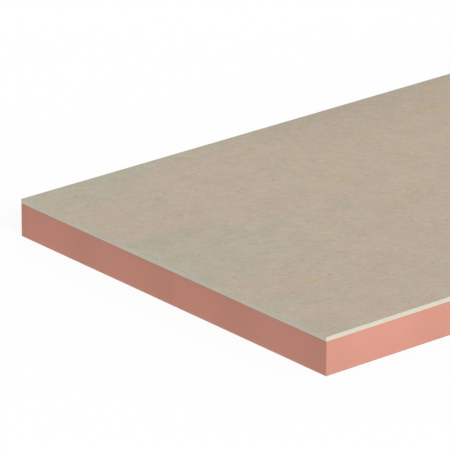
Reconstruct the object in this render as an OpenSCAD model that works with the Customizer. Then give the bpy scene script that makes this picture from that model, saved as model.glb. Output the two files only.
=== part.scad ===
// Insulated plasterboard: a sheet of paper-faced plasterboard bonded to a board of rigid foam.
// It lies flat, foam down and paper up, with X along its length and Y across its width.
// The origin is at the centre of the underside. All four sides are cut square and flush.

/* [Board] */
// Length of the board
board_length = 2400; // [600:1:3600]
// Width of the board
board_width = 1200; // [300:1:1500]

/* [Plasterboard] */
// Thickness of the plasterboard, with its face paper
plasterboard_thickness = 12.5; // [6:0.5:25]
// Thickness of the face paper
face_paper_thickness = 0.4; // [0.2:0.05:1]

/* [Insulation] */
// Thickness of the foam
foam_thickness = 90; // [20:1:200]

/* [Hidden] */

// The layers are stacked from the underside up
gypsum_thickness = plasterboard_thickness - face_paper_thickness;
foam_top = foam_thickness;
gypsum_top = foam_top + gypsum_thickness;

// One layer of the board: a sheet of the full length and width that starts at a height
module layer(base, thickness) {
    translate([0, 0, base])
        linear_extrude(height = thickness)
            square([board_length, board_width], center = true);
}

// Rigid foam, sawn square on all four sides
module foam_insulation() {
    color("darksalmon")
        layer(0, foam_thickness);
}

// Gypsum, bonded to the foam and bare at the edges of the board
module gypsum_core() {
    color("antiquewhite")
        layer(foam_top, gypsum_thickness);
}

// Paper over the whole face, cut off level with the edges
module face_paper() {
    color("tan")
        layer(gypsum_top, face_paper_thickness);
}

foam_insulation();
gypsum_core();
face_paper();
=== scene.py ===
import math

import bmesh
import bpy
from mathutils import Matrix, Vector


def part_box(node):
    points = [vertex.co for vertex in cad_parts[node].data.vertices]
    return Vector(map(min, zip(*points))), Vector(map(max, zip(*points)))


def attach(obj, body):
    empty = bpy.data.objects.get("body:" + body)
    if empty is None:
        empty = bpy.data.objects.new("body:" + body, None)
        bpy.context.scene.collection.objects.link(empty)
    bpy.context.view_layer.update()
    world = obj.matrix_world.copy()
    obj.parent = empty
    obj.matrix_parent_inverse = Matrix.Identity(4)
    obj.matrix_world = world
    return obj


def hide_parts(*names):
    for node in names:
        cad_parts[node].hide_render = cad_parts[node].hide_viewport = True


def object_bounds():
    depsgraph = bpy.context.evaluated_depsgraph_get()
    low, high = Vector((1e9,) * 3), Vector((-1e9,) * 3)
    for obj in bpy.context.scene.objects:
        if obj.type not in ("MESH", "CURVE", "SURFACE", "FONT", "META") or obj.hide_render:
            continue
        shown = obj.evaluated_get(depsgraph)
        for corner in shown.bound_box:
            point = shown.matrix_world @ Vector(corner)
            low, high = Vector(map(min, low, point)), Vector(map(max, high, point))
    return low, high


# The board lies flat, and the camera sees its left end, its front edge and its paper. Lengths are in metres.
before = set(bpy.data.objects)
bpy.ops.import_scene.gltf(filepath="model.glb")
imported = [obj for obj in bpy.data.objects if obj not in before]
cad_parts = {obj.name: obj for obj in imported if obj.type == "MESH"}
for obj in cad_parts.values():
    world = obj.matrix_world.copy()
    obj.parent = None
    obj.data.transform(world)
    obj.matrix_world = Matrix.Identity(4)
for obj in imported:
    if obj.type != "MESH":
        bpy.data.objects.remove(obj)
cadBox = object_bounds()
leftEnd, frontEdge = cadBox[0].x, cadBox[0].y
rightEnd, backEdge = cadBox[1].x, cadBox[1].y
print("frame loaded:", ", ".join(sorted(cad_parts)))


class Wire:
    # one output socket: sums and products of wires add their own Math nodes
    def __init__(self, socket):
        self.socket = socket

    def node(self, kind, settings, inputs, output=0):
        tree = self.socket.id_data
        made = tree.nodes.new(kind)
        for name, value in settings.items():
            setattr(made, name, value)
        for name, value in inputs.items():
            if isinstance(value, Wire):
                tree.links.new(value.socket, made.inputs[name])
            else:
                made.inputs[name].default_value = value
        return Wire(made.outputs[output])

    def output(self, name):    # another output of the same node
        return Wire(self.socket.node.outputs[name])

    def maths(self, operation, first, second=0.0):
        return self.node("ShaderNodeMath", {"operation": operation}, {0: first, 1: second})

    def __abs__(self):
        return self.maths("ABSOLUTE", self)

    def __add__(self, other):
        return self.maths("ADD", self, other)

    def __sub__(self, other):
        return self.maths("SUBTRACT", self, other)

    def __rsub__(self, other):
        return self.maths("SUBTRACT", other, self)

    def __mul__(self, other):
        return self.maths("MULTIPLY", self, other)

    __radd__ = __add__
    __rmul__ = __mul__

    def ease(self, start, end):    # 0 up to start, 1 from end on, and smooth between
        return self.node("ShaderNodeMapRange", {"interpolation_type": "SMOOTHSTEP"},
                         {"Value": self, "From Min": start, "From Max": end})


def coordinates(tree, name):    # where the wires of a node tree start
    return Wire(tree.nodes.new("ShaderNodeTexCoord").outputs[name])


def newFinish(name, roughness, shine):
    finish = bpy.data.materials.new(name)
    finish.use_nodes = True
    shader = finish.node_tree.nodes["Principled BSDF"]
    shader.inputs["Roughness"].default_value = roughness
    shader.inputs["Specular IOR Level"].default_value = shine
    return finish, shader, coordinates(finish.node_tree, "Object")


def feed(target, socketName, wire):
    wire.socket.id_data.links.new(wire.socket, target.inputs[socketName])


def split(vector):    # the three parts of a vector
    parts = vector.node("ShaderNodeSeparateXYZ", {}, {0: vector})
    return [Wire(output) for output in parts.socket.node.outputs]


def blend(amount, under, over):
    return amount.node("ShaderNodeMix", {"data_type": "RGBA"}, {0: amount, 6: under, 7: over}, 2)


def shade(colour, amount):    # a colour times a number
    return colour.node("ShaderNodeMix", {"data_type": "RGBA", "blend_type": "MULTIPLY"},
                       {0: 1.0, 6: colour, 7: amount}, 2)


def bump(height, depth):    # depth in metres for a height from 0 to 1
    return height.node("ShaderNodeBump", {}, {"Height": height, "Distance": depth})


def moved(place, start):    # the same pattern from another spot, so that two patterns don't coincide
    return place.node("ShaderNodeVectorMath", {"operation": "ADD"}, {0: place, 1: start})


def turned(place, angle, stretch):    # drawn out along a line at that angle to the length
    return place.node("ShaderNodeMapping", {"vector_type": "TEXTURE"},
                      {"Vector": place, "Rotation": (0, 0, math.radians(angle)), "Scale": (stretch, 1, 1)})


def drifted(place, size, reach):    # coordinates that wander, which makes outlines uneven
    wander = place.node("ShaderNodeTexNoise", {},
                        {"Vector": place, "Scale": 1 / size, "Detail": 3.0}, "Color")
    centred = wander.node("ShaderNodeVectorMath", {"operation": "SUBTRACT"},
                          {0: wander, 1: (0.5, 0.5, 0.5)})
    return centred.node("ShaderNodeVectorMath", {"operation": "MULTIPLY_ADD"},
                        {0: centred, 1: (reach, reach, reach), 2: place})


def cloud(place, size, detail, roughness):    # noise from 0 to 1 whose largest lumps are about that size
    return place.node("ShaderNodeTexNoise", {},
                      {"Vector": place, "Scale": 1 / size, "Detail": detail, "Roughness": roughness})


def mottle(place, start, size, detail, roughness):    # a cloud from another spot, around 0
    return cloud(moved(place, start), size, detail, roughness) - 0.5


def patch(place, centre, halfSize, softness):    # 1 inside an oval and 0 outside, over a soft edge
    oval = place.node("ShaderNodeMapping", {"vector_type": "TEXTURE"},
                      {"Vector": place, "Location": centre, "Scale": halfSize})
    distance = oval.node("ShaderNodeVectorMath", {"operation": "LENGTH"}, {0: oval}, "Value")
    return distance.ease(1 + softness, 1 - softness)


def bands(along, pitch, start, before, after):    # stripes: 1 at each start, fading before and after it
    past = along.maths("FLOORED_MODULO", along - start, pitch)
    return past.ease(after, 0.0) + past.ease(pitch - before, pitch)


def lowest(height, thickness):    # 1 in the lowest layer of that thickness, and 0 above it
    return height.ease(thickness * 1.1, thickness * 0.9)


def specks(place, spacing, radius, share):    # round dots in a share of cells of that spacing
    distance = place.node("ShaderNodeTexVoronoi", {"feature": "F1"},
                          {"Vector": place, "Scale": 1 / spacing}, "Distance")
    cell = distance.output("Color")
    lot = cell.node("ShaderNodeSeparateColor", {}, {"Color": cell}, "Red")
    return distance.ease(radius / spacing, 0.4 * radius / spacing) * lot.ease(share, share - 0.01)


def fibres(place, start, length, width, share, strength):    # curly hairs in a share of the face
    spot = moved(place, start)
    line = cloud(drifted(spot, length, length), length, 1.0, 0.5) - 0.5
    hair = abs(line).ease(width / length, 0.0)
    tufts = cloud(moved(spot, (8.3, 4.1, 0)), length * 1.7, 1.0, 0.5)
    bare = 0.62 - share * 0.4    # the tufts grow where their cloud is above this
    return hair * tufts.ease(bare, bare + 0.1) * strength


# Face paper: recycled fibre, pinkish beige with soft greenish and yellowish stains
paper = {
    "roughness": 0.9,
    "shine": 0.2,
    "pink": (0.4905, 0.3945, 0.3215, 1),
    "green": (0.432, 0.411, 0.318, 1),
    "yellow": (0.485, 0.401, 0.272, 1),
    "fleck": (0.60, 0.53, 0.44, 1),
    "speck": (0.27, 0.23, 0.17, 1),
    "cutEdge": (0.75, 0.70, 0.575, 1),
    "cutFade": (0.00002, 0.0001),    # how far below the face the cut edge begins, and is all there
    "reliefCloud": (0.004, 3.0, 0.6),    # size, detail, roughness
    "reliefDepth": 0.00012,
    # each cloud: where its pattern starts, size of its largest lumps, detail, roughness
    "greenCloud": ((0, 0, 0), 0.08, 3.2, 1.0),
    "greenLevel": 0.06,
    "yellowCloud": ((6.1, 1.7, 0), 0.08, 3.2, 1.0),
    "yellowLevel": -0.03,
    "tintStrength": 2.5,      # of the green and yellow clouds
    "pulpCloud": ((1.3, 2.9, 0), 0.10, 4.0, 1.0),
    "pulpStrength": 0.34,
    # each stain: from the left end, from the front edge, half length, half width, softness, strength
    "greenStains": (
        (0.00, 0.60, 0.50, 1.10, 0.6, 0.08),
        (0.00, 0.57, 0.16, 0.13, 0.5, 0.08),
        (0.02, 0.575, 0.41, 0.14, 0.6, 0.49),
        (0.02, 0.742, 0.19, 0.042, 0.18, 0.54),
        (0.27, 0.705, 0.07, 0.040, 0.4, 0.34),
        (0.06, 1.17, 0.36, 0.14, 0.5, 0.44),
        (-0.04, 0.18, 0.20, 0.22, 0.6, 0.24),
        (1.30, 1.20, 0.95, 0.125, 0.2, 0.13),
    ),
    "yellowStains": (
        (1.50, 0.75, 1.00, 0.65, 0.6, 0.20),
        (0.232, 0.300, 0.034, 0.028, 0.5, 0.75),
        (0.055, 0.915, 0.028, 0.028, 0.5, 0.55),
        (0.998, 0.968, 0.040, 0.045, 0.5, 0.22),
        (0.835, 0.607, 0.036, 0.034, 0.5, 0.38),
        (0.702, 0.543, 0.034, 0.030, 0.5, 0.55),
        (0.725, 0.770, 0.030, 0.030, 0.5, 0.52),
        (1.017, 0.827, 0.030, 0.030, 0.5, 0.30),
        (0.899, 0.703, 0.030, 0.030, 0.5, 0.35),
        (1.300, 1.010, 0.045, 0.040, 0.5, 0.35),
        (1.358, 1.140, 0.036, 0.032, 0.5, 0.55),
        (1.028, 1.035, 0.030, 0.030, 0.5, 0.42),
        (0.942, 0.935, 0.030, 0.030, 0.5, 0.35),
        (0.362, 0.220, 0.028, 0.028, 0.5, 0.30),
    ),
    # soft darker patches; the largest two lie along the back edge, so the far side of the paper is darker
    "darkerPatches": (
        (1.35, 1.22, 0.62, 0.26, 0.56, 0.045),
        (1.10, 1.26, 0.50, 0.14, 0.50, 0.035),
        (0.10, 0.748, 0.16, 0.036, 0.30, 0.040),
    ),
    "stainWander": (0.12, 0.05),     # size and reach of the bends in a stain's outline
    "marks": (                       # the clearest single specks, in the form of a stain
        (0.1015, 1.052, 0.0025, 0.003, 0.5, 0.85),
        (0.077, 0.438, 0.0022, 0.0045, 0.5, 0.85),
        (0.2702, 0.2989, 0.004, 0.003, 0.5, 0.85),
        (0.372, 0.300, 0.009, 0.004, 0.5, 0.2),
        (0.160, 0.179, 0.009, 0.004, 0.5, 0.2),
    ),
    "rimWidth": 0.020,
    "rimGreen": 0.25,         # the paper is greener along its edges
    "rimLight": 0.020,        # and a little paler along its ends
    "backWidth": 0.036,
    "backGreen": 0.30,        # and greener still along the back edge
    "grainAngle": -40,        # degrees from the length
    "grainStretch": 2.6,
    "grainCloud": ((0.7, 5.3, 0), 0.0078, 2.0, 0.9),
    "grainSnap": 14.0,        # how much the palest and darkest spots stand out
    "grainDepth": 0.178,
    "hairStretch": 1.5,
    # each kind of hair: where its pattern starts, length, width, share of the face, strength
    "paleHairs": ((2.7, 3.3, 0), 0.008, 0.0005, 0.5, 0.06),
    "darkHairs": ((0, 0, 0), 0.007, 0.00045, 0.5, 0.080),
    "tear": (0.005, 0.004),          # size and reach of the ragged outlines of flecks and specks
    "flecks": (0.027, 0.0040, 1.0),  # spacing, radius, share of the cells that hold one
    "fleckStart": (2.2, 9.1, 0),
    "fleckStrength": 0.56,
    "specks": (0.029, 0.0024, 1.0),
    "speckAngles": (-65, -40, -15),
    "speckStretch": 3.0,
    "speckStrength": 0.58,
}


def makePaper():
    finish, shader, place = newFinish("facePaper", paper["roughness"], paper["shine"])
    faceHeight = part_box("face_paper")[1].z
    x, y, height = split(place)
    fromEnds = rightEnd - abs(x)
    fromSides = backEdge - abs(y)
    wandering = drifted(place, *paper["stainWander"])

    def stained(amount, around, stains):
        for fromEnd, fromEdge, halfLength, halfWidth, softness, strength in stains:
            centre = (leftEnd + fromEnd, frontEdge + fromEdge, faceHeight)
            amount = amount + strength * patch(around, centre, (halfLength, halfWidth, 1.0), softness)
        return amount

    # green and yellow in the pink
    rim = x.maths("MINIMUM", fromEnds, fromSides).ease(paper["rimWidth"], 0.0)
    backRim = (backEdge - y).ease(paper["backWidth"], 0.0)
    greenness = paper["greenLevel"] + mottle(place, *paper["greenCloud"]) * paper["tintStrength"]
    greenness = stained(greenness, wandering, paper["greenStains"])
    greenness = greenness + rim * paper["rimGreen"] + backRim * paper["backGreen"]
    yellowness = paper["yellowLevel"] + mottle(place, *paper["yellowCloud"]) * paper["tintStrength"]
    yellowness = stained(yellowness, wandering, paper["yellowStains"])
    colour = blend(greenness, paper["pink"], paper["green"])
    colour = blend(yellowness, colour, paper["yellow"])

    # paler and darker
    pulp = mottle(place, *paper["pulpCloud"]) * paper["pulpStrength"]
    grain = mottle(turned(place, paper["grainAngle"], paper["grainStretch"]), *paper["grainCloud"])
    grain = (grain + grain * grain * grain * paper["grainSnap"]) * paper["grainDepth"]
    combed = turned(place, paper["grainAngle"], paper["hairStretch"])
    paleHairs = fibres(combed, *paper["paleHairs"])
    darkHairs = fibres(combed, *paper["darkHairs"])
    endRim = fromEnds.ease(paper["rimWidth"], 0.0) * paper["rimLight"]
    dimming = stained(0.0, wandering, paper["darkerPatches"])
    colour = shade(colour, 1.0 + pulp + grain + endRim + paleHairs - darkHairs - dimming)

    # flecks, specks and marks
    torn = drifted(place, *paper["tear"])
    flecks = specks(moved(torn, paper["fleckStart"]), *paper["flecks"])
    colour = blend(flecks * paper["fleckStrength"], colour, paper["fleck"])
    darkSpecks = sum(specks(turned(torn, angle, paper["speckStretch"]), *paper["specks"])
                     for angle in paper["speckAngles"]) * paper["speckStrength"]
    colour = blend(stained(darkSpecks, place, paper["marks"]), colour, paper["speck"])

    colour = blend((faceHeight - height).ease(*paper["cutFade"]), colour, paper["cutEdge"])
    feed(shader, "Base Color", colour)
    feed(shader, "Normal", bump(cloud(place, *paper["reliefCloud"]), paper["reliefDepth"]))
    return finish


# Gypsum: chalky ivory with fine pores, cut square
gypsum = {
    "roughness": 0.92,
    "shine": 0.2,
    "ivory": (0.750, 0.700, 0.569, 1),
    "cream": (0.715, 0.667, 0.548, 1),
    "creamCloud": (0.06, 4.0, 0.7),      # size, detail, roughness
    "creamEdge": (0.35, 0.65),           # where in the cloud the cream begins, and is all there
    "pore": (0.50, 0.46, 0.38, 1),
    "pores": (0.004, 0.0007, 0.35),      # spacing, radius, share
    "poreStrength": 0.6,
    "liner": (0.29, 0.28, 0.25, 1),      # the paper on the back of the plasterboard, seen as a thin line
    "linerThickness": 0.00035,
    "reliefCloud": (0.0025, 3.0, 0.6),
    "reliefDepth": 0.0002,
    "step": 0.005,        # the longest face along the cut
    "rows": 4,            # faces over the height of the cut
    "lump": 0.012,        # size of the lumps in the cut face
    "depth": 0.00010,     # how deep the cut face is uneven
}


def makeGypsum():
    finish, shader, place = newFinish("gypsum", gypsum["roughness"], gypsum["shine"])
    creamy = cloud(place, *gypsum["creamCloud"]).ease(*gypsum["creamEdge"])
    colour = blend(creamy, gypsum["ivory"], gypsum["cream"])
    pores = specks(place, *gypsum["pores"]) * gypsum["poreStrength"]
    colour = blend(pores, colour, gypsum["pore"])
    fromBack = split(place)[2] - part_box("gypsum_core")[0].z
    colour = blend(lowest(fromBack, gypsum["linerThickness"]), colour, gypsum["liner"])
    feed(shader, "Base Color", colour)
    feed(shader, "Normal", bump(cloud(place, *gypsum["reliefCloud"]) - pores, gypsum["reliefDepth"]))
    return finish


# Foam: pink rigid foam, sawn, with fine cells and a few open voids
foam = {
    "roughness": 0.92,
    "shine": 0.2,
    "pink": (0.714, 0.324, 0.248, 1),
    "warm": (0.709, 0.328, 0.246, 1),
    "warmCloud": (0.16, 3.0, 0.6),       # size, detail, roughness
    "warmEdge": (0.3, 0.7),              # where in the cloud the warm tone begins, and is all there
    "level": 1.015,
    "mottling": ((4.4, 1.7, 0), 0.22, 6.0, 0.8),    # start, size, detail, roughness
    "mottlingDepth": 0.08,
    "paintedLightTilt": 0.050,            # painted light and shade: the long sides paler at the top, and the ends at the bottom, as the lamp and the floor's bounce would light them
    "seamPitch": 0.60,        # faint darker bands, where the poured streams of foam met
    "seams": ((0.00, 0.04, 0.14), (0.35, 0.12, 0.10)),    # where in the pitch, and the fade on either side
    "seamDepth": 0.046,
    "cells": ((0, 0, 0), 0.0028, 4.0, 0.8),
    "cellDepth": 0.16,
    "void": (0.47, 0.19, 0.14, 1),
    "voids": (0.022, 0.0022, 0.16),      # spacing, radius, share
    "voidStrength": 0.5,
    "reliefDepth": 0.0003,
    "facingEdgeShade": (0.30, 0.22, 0.19, 1),    # where the facing ends at the foot of the cut faces, made dark as painted contact shade
    "facingEdgeShadeHeight": 0.0008,
    "step": 0.005,        # as for the gypsum
    "rows": 18,
    "lump": 0.05,
    "depth": 0.0005,
}


def makeFoam():
    finish, shader, place = newFinish("sawnFoam", foam["roughness"], foam["shine"])
    low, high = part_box("foam_insulation")
    x, y, z = split(place)
    height = z - low.z
    warmth = cloud(place, *foam["warmCloud"]).ease(*foam["warmEdge"])
    colour = blend(warmth, foam["pink"], foam["warm"])

    streams = (x - leftEnd) + (y - frontEdge)    # how far a spot is from the near corner, round the cut faces
    seams = sum(bands(streams, foam["seamPitch"], *seam) for seam in foam["seams"])
    longSide = abs(split(place.output("Normal"))[1])    # 1 on the long sides, 0 on the ends
    # painted light and shade: the long sides lighter towards the top, the ends lighter towards the bottom
    paintedLightSlope = (height * (1 / (high.z - low.z)) - 0.5) * (longSide * 2 - 1)
    mottling = mottle(place, *foam["mottling"]) * foam["mottlingDepth"]
    colour = shade(colour, foam["level"] + (mottling + paintedLightSlope * foam["paintedLightTilt"] - seams * foam["seamDepth"]))

    cells = mottle(place, *foam["cells"])
    colour = shade(colour, 1.0 + cells * foam["cellDepth"])
    voids = specks(place, *foam["voids"])
    colour = blend(voids * foam["voidStrength"], colour, foam["void"])
    # painted contact shade: a thin dark band at the foot of the cut faces, along the facing's edge
    colour = blend(lowest(height, foam["facingEdgeShadeHeight"]), colour, foam["facingEdgeShade"])
    feed(shader, "Base Color", colour)
    feed(shader, "Normal", bump(cells - voids, foam["reliefDepth"]))
    return finish


# Tissue: the fibre facing on the underside of the foam
tissue = {
    "roughness": 0.92,
    "shine": 0.2,
    "ground": (0.60, 0.53, 0.46, 1),
    "fibre": (0.72, 0.68, 0.62, 1),
    "curl": (0.02, 0.03),                # size and reach of the strands' bends
    "strands": (0.006, 2.0, 0.7),        # size, detail, roughness
    "strandEdge": (0.42, 0.62),
    "mottling": ((0, 0, 0), 0.2, 4.0, 0.7),
    "mottlingDepth": 0.12,
    "reliefDepth": 0.0003,
}


def makeTissue():
    finish, shader, place = newFinish("backTissue", tissue["roughness"], tissue["shine"])
    strands = cloud(drifted(place, *tissue["curl"]), *tissue["strands"])
    colour = blend(strands.ease(*tissue["strandEdge"]), tissue["ground"], tissue["fibre"])
    colour = shade(colour, 1.0 + mottle(place, *tissue["mottling"]) * tissue["mottlingDepth"])
    feed(shader, "Base Color", colour)
    feed(shader, "Normal", bump(strands, tissue["reliefDepth"]))
    return finish


# Slabs: an outline in short lengths, raised to its thickness, with cut faces that are a little uneven
sawing = {
    "lumpDetail": 2,
    "smoothAngle": 35,    # degrees, so that the edges of the board stay sharp
}


def pickEdges(test):    # selects the edges of the mesh in edit mode whose run from end to end passes the test
    mesh = bmesh.from_edit_mesh(bpy.context.object.data)
    bpy.ops.mesh.select_all(action="DESELECT")
    for edge in mesh.edges:
        edge.select_set(test(edge.verts[1].co - edge.verts[0].co))
    bmesh.update_edit_mesh(bpy.context.object.data)


def halveEdges(test, length, step):    # cuts those edges in half until none is longer than the step
    for _ in range(math.ceil(math.log2(length / step))):
        pickEdges(test)
        bpy.ops.mesh.subdivide(number_cuts=1)


def sawnSlab(name, node, cut):
    low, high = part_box(node)
    size = high - low
    middle = (low + high) / 2
    bpy.ops.object.select_all(action="DESELECT")
    bpy.ops.mesh.primitive_plane_add(size=1, location=(middle.x, middle.y, low.z))
    slab = bpy.context.object
    slab.name = slab.data.name = name
    slab.scale = (size.x, size.y, 1)
    bpy.ops.object.transform_apply(location=True, rotation=True, scale=True)

    bpy.ops.object.mode_set(mode="EDIT")
    bpy.ops.mesh.select_mode(type="EDGE")
    bpy.ops.mesh.delete(type="ONLY_FACE")    # the outline, cut into short lengths and filled again
    halveEdges(lambda run: abs(run.x) > abs(run.y), size.x, cut["step"])
    halveEdges(lambda run: abs(run.y) > abs(run.x), size.y, cut["step"])
    bpy.ops.mesh.select_all(action="SELECT")
    bpy.ops.mesh.edge_face_add()
    bpy.ops.mesh.extrude_region_move(TRANSFORM_OT_translate={"value": (0, 0, size.z)})
    pickEdges(lambda run: abs(run.z) > size.z / 2)
    bpy.ops.mesh.subdivide(number_cuts=cut["rows"] - 1)
    bpy.ops.mesh.select_all(action="SELECT")
    bpy.ops.mesh.normals_make_consistent(inside=False)
    bpy.ops.object.mode_set(mode="OBJECT")

    # the cut faces, but not their outlines, get lumps
    near = size.z / cut["rows"] / 2
    inner = [v.index for v in slab.data.vertices
             if low.z + near < v.co.z < high.z - near
             and (abs(v.co.x - middle.x) < size.x / 2 - near or abs(v.co.y - middle.y) < size.y / 2 - near)]
    slab.vertex_groups.new(name="cutFace").add(inner, 1.0, "REPLACE")
    lumps = bpy.data.textures.new(name + "Lumps", "CLOUDS")
    lumps.noise_scale = cut["lump"]
    lumps.noise_depth = sawing["lumpDetail"]
    uneven = slab.modifiers.new("uneven", "DISPLACE")
    uneven.texture = lumps
    uneven.texture_coords = "LOCAL"
    uneven.vertex_group = "cutFace"
    uneven.mid_level = 1.0    # inwards only
    uneven.strength = cut["depth"]
    bpy.ops.object.modifier_apply(modifier=uneven.name)
    bpy.ops.object.shade_smooth_by_angle(angle=math.radians(sawing["smoothAngle"]))
    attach(slab, "root")
    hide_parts(node)
    print(name, "made:", len(slab.data.polygons), "faces")
    return slab


foamSlab = sawnSlab("foamSlab", "foam_insulation", foam)
foamSlab.data.materials.append(makeFoam())
foamSlab.data.materials.append(makeTissue())
for face in foamSlab.data.polygons:
    looksDown = face.normal.z < -0.9
    face.material_index = 1 if looksDown else 0

gypsumSheet = sawnSlab("gypsumSheet", "gypsum_core", gypsum)
gypsumSheet.data.materials.append(makeGypsum())

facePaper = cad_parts["face_paper"]
facePaper.data.materials.clear()
facePaper.data.materials.append(makePaper())
print("finishes made")

# Stage: a white floor that keeps a faint shadow, soft sky light and one wide lamp over the front edge
stage = {
    "white": (1, 1, 1, 1),
    "floorSize": 120.0,
    "floorBounce": (0.13, 0.13, 0.13, 1),
    "shadowShare": 0.12,      # how much of the floor's own shading shows
    "skyHorizon": 1.40,       # brighter low down, so that the cut faces are lit evenly
    "skyZenith": 0.40,
    "skyBelow": 0.95,         # lights the underside in views from below the floor
    "skyFade": 0.02,          # from the horizon down to that light
    "lampPower": 1.73,
    "lampAzimuth": -9.5,      # degrees, a little to the left of the front edge's own direction
    "lampElevation": 28.0,
    "lampSpread": 25.0,
}


def seenDirectly(place):    # 1 for what the camera sees, straight or in a reflection
    camera = place.node("ShaderNodeLightPath", {}, {}, "Is Camera Ray")
    seen = camera.maths("MAXIMUM", camera, camera.output("Is Glossy Ray"))
    return seen.maths("MAXIMUM", seen, camera.output("Is Transmission Ray"))


def makeFloor():
    size = cadBox[1] - cadBox[0]
    bpy.ops.object.select_all(action="DESELECT")
    bpy.ops.mesh.primitive_plane_add(size=stage["floorSize"], location=(0, 0, cadBox[0].z))
    floor = bpy.context.object
    floor.name = "floor"

    # it is open under the board and clear from below, so that the underside can be looked at
    opening = stage["floorSize"] / 2
    bpy.ops.object.mode_set(mode="EDIT")
    bpy.ops.mesh.inset(thickness=(stage["floorSize"] - opening) / 2)
    bpy.ops.transform.resize(value=(size.x / opening, size.y / opening, 1), center_override=floor.location)
    bpy.ops.mesh.delete(type="FACE")
    bpy.ops.object.mode_set(mode="OBJECT")

    finish = bpy.data.materials.new("floor")
    finish.use_nodes = True
    nodes = finish.node_tree.nodes
    nodes.remove(nodes["Principled BSDF"])
    place = coordinates(finish.node_tree, "Object")
    seen = seenDirectly(place)
    colour = blend(seen, stage["floorBounce"], stage["white"])
    matt = place.node("ShaderNodeBsdfDiffuse", {}, {"Color": colour})
    plain = place.node("ShaderNodeEmission", {}, {"Color": stage["white"], "Strength": 1.0})
    above = place.node("ShaderNodeMixShader", {}, {0: seen * (1 - stage["shadowShare"]), 1: matt, 2: plain})
    clear = place.node("ShaderNodeBsdfTransparent", {}, {})
    fromBelow = place.node("ShaderNodeNewGeometry", {}, {}, "Backfacing")
    feed(nodes["Material Output"], "Surface",
         place.node("ShaderNodeMixShader", {}, {0: fromBelow, 1: above, 2: clear}))
    floor.data.materials.append(finish)


def makeSky():
    sky = bpy.data.worlds.new("sky")
    sky.use_nodes = True
    nodes = sky.node_tree.nodes
    place = coordinates(sky.node_tree, "Generated")
    seen = seenDirectly(place)
    height = split(place)[2]
    upper = height.maths("MAXIMUM", height, 0.0)
    light = stage["skyHorizon"] + upper * (stage["skyZenith"] - stage["skyHorizon"])
    light = light + height.ease(0.0, -stage["skyFade"]) * (stage["skyBelow"] - stage["skyHorizon"])
    nodes["Background"].inputs["Color"].default_value = stage["white"]
    feed(nodes["Background"], "Strength", seen + light * (1 - seen))
    bpy.context.scene.world = sky


def awayFrom(azimuth, elevation):    # azimuth 0 is over the front edge, 90 over the right end
    turn, rise = math.radians(azimuth), math.radians(elevation)
    return Vector((math.sin(turn) * math.cos(rise), -math.cos(turn) * math.cos(rise), math.sin(rise)))


def makeLamp():
    towards = awayFrom(stage["lampAzimuth"], stage["lampElevation"])
    bpy.ops.object.light_add(type="SUN", location=towards)
    lamp = bpy.context.object
    lamp.name = "lamp"
    lamp.rotation_euler = towards.to_track_quat("Z", "Y").to_euler()
    lamp.data.energy = stage["lampPower"]
    lamp.data.angle = math.radians(stage["lampSpread"])


# Camera: a long lens above the near corner, aimed at a spot on the paper
view = {
    "fromLeftEnd": 0.2852,
    "fromFrontEdge": 0.7226,
    "azimuth": -39.845,       # degrees
    "elevation": 21.461,
    "distance": 12.841,
    "lens": 404.1,            # millimetres
    "sensor": 36.0,
}


def makeCamera():
    aim = Vector((leftEnd + view["fromLeftEnd"], frontEdge + view["fromFrontEdge"], cadBox[1].z))
    back = awayFrom(view["azimuth"], view["elevation"])
    bpy.ops.object.camera_add(location=aim + back * view["distance"])
    camera = bpy.context.object
    camera.name = "camera"
    camera.rotation_euler = back.to_track_quat("Z", "Y").to_euler()
    camera.data.sensor_width = view["sensor"]
    camera.data.lens = view["lens"]
    camera.data.clip_end = stage["floorSize"]
    bpy.context.scene.camera = camera


makeFloor()
makeSky()
makeLamp()
makeCamera()
bpy.context.scene.view_settings.view_transform = "Standard"
print("stage set")
